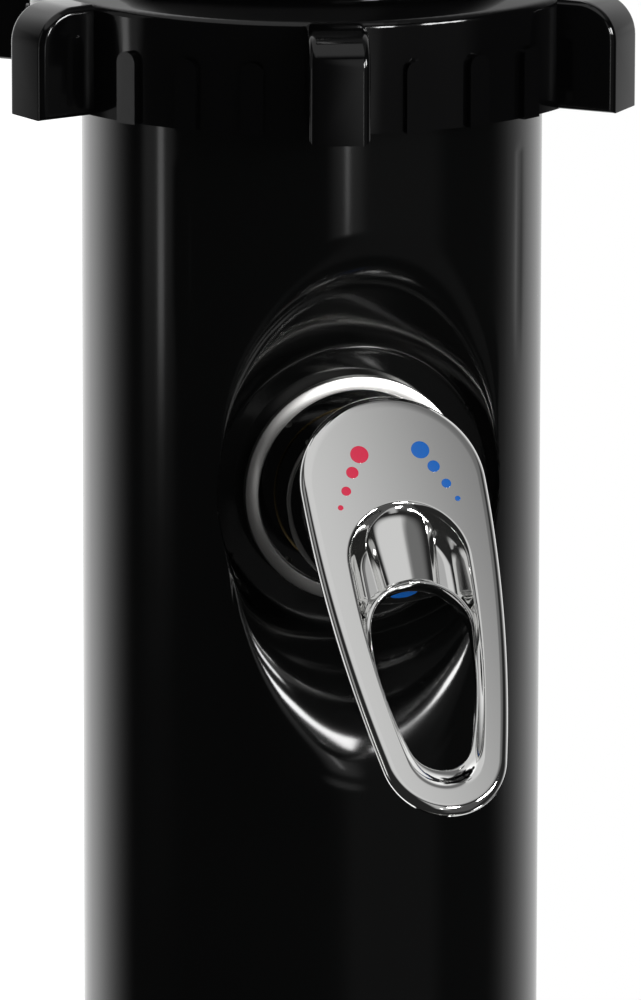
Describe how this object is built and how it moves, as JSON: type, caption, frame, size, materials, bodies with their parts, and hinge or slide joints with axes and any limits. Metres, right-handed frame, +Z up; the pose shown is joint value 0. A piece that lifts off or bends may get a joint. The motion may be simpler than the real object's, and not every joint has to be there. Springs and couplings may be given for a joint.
{
  "type": "solar garden shower",
  "caption": "Black two-part solar water column joined by a lobed union nut, with a single-lever loop-handle mixer in a moulded recess, a bent arm and a tilting shower head.",
  "frame": {"origin": "on the ground at the tank's axis, the centre of the four base holes", "axes": "+Z up the tank, -Y towards the person using the mixer, +X to that person's right"},
  "size_m": [0.2222, 0.391, 2.1736],
  "materials": {
    "tank_plastic": "satin black",
    "base_plastic": "satin black",
    "nut_plastic": "gloss black",
    "chrome": "polished",
    "brass_fitting": "machined",
    "steel_screws": "plain",
    "seal_rubber": "matte",
    "nozzle_rubber": "matte",
    "hose_plastic": "milky",
    "cartridge_plastic": "satin",
    "ceramic_discs": "lapped",
    "hot_enamel": "enamel",
    "cold_enamel": "enamel"
  },
  "bodies": {
    "column": {"base_foot": "base_plastic", "base_screws": "steel_screws", "lower_tank": "tank_plastic", "inlet_connector": "brass_fitting", "inlet_washer": "seal_rubber", "inlet_locknut": "brass_fitting", "inlet_elbow": "brass_fitting", "union_seal": "seal_rubber", "upper_tank": "tank_plastic", "cold_pipe": "hose_plastic", "hot_pipe": "hose_plastic", "riser_pipe": "hose_plastic", "hose_clamps": "steel_screws", "mixer_body": "brass_fitting", "mixer_gasket": "seal_rubber", "mixer_ring": "chrome", "mixer_locknut": "nut_plastic", "cartridge_seal": "seal_rubber", "cartridge_housing": "cartridge_plastic", "fixed_disc": "ceramic_discs", "cartridge_nut": "brass_fitting", "bonnet": "chrome", "top_fitting": "brass_fitting", "top_washer": "seal_rubber", "top_locknut": "brass_fitting", "shower_arm": "chrome", "arm_nut": "chrome", "ball_stem": "chrome"},
    "union_nut": {"union_nut": "nut_plastic"},
    "drain_slide": {"drain_seal": "seal_rubber"},
    "drain_plug": {"drain_plug": "nut_plastic"},
    "mixing_rotor": {"cartridge_rotor": "cartridge_plastic", "rotor_pin": "steel_screws"},
    "lever": {"lever_spindle": "brass_fitting", "handle": "chrome", "hot_dots": "hot_enamel", "cold_dots": "cold_enamel", "handle_screw": "steel_screws", "screw_plug": "cold_enamel"},
    "disc_set": {"moving_disc": "ceramic_discs", "disc_carrier": "cartridge_plastic"},
    "ball_collar": {"ball_seat": "seal_rubber"},
    "shower_head": {"swivel_nut": "chrome", "head_shell": "chrome", "head_ring": "cartridge_plastic", "nozzle_mat": "nozzle_rubber", "face_plate": "chrome"}
  },
  "joints": [
    {"name": "union_nut_turn", "type": "hinge", "parent": "column", "child": "union_nut", "pos_m": [0, 0, 1.2398], "axis": [0, 0, 1], "range_deg": [0, 300]},
    {"name": "drain_plug_travel", "type": "slide", "parent": "column", "child": "drain_slide", "axis": [0, 1, 0], "range_m": [0, 0.0091]},
    {"name": "drain_plug_turn", "type": "hinge", "parent": "drain_slide", "child": "drain_plug", "pos_m": [0, 0.082, 0.104], "axis": [0, 1, 0], "range_deg": [0, 1800]},
    {"name": "handle_turn", "type": "hinge", "parent": "column", "child": "mixing_rotor", "pos_m": [0, -0.07, 1.112], "axis": [0, -1, 0], "range_deg": [-46.2, 43.8]},
    {"name": "lever_lift", "type": "hinge", "parent": "mixing_rotor", "child": "lever", "pos_m": [0, -0.07, 1.112], "axis": [-0.9998, 0, -0.0209], "range_deg": [0, 22]},
    {"name": "disc_slide", "type": "slide", "parent": "mixing_rotor", "child": "disc_set", "axis": [0.0209, 0, -0.9998], "range_m": [0, 0.00435]},
    {"name": "head_spin", "type": "hinge", "parent": "column", "child": "ball_collar", "pos_m": [0, -0.18694, 2.08569], "axis": [0, -0.5, -0.866], "range_deg": [-180, 180]},
    {"name": "head_tilt", "type": "hinge", "parent": "ball_collar", "child": "shower_head", "pos_m": [0, -0.18694, 2.08569], "axis": [1, 0, 0], "range_deg": [-14, 14]}
  ],
  "couplings": [
    {"joint": "drain_plug_travel", "follows": "drain_plug_turn", "m_per_rad": 0.00028648},
    {"joint": "disc_slide", "follows": "lever_lift", "m_per_rad": 0.011219}
  ]
}
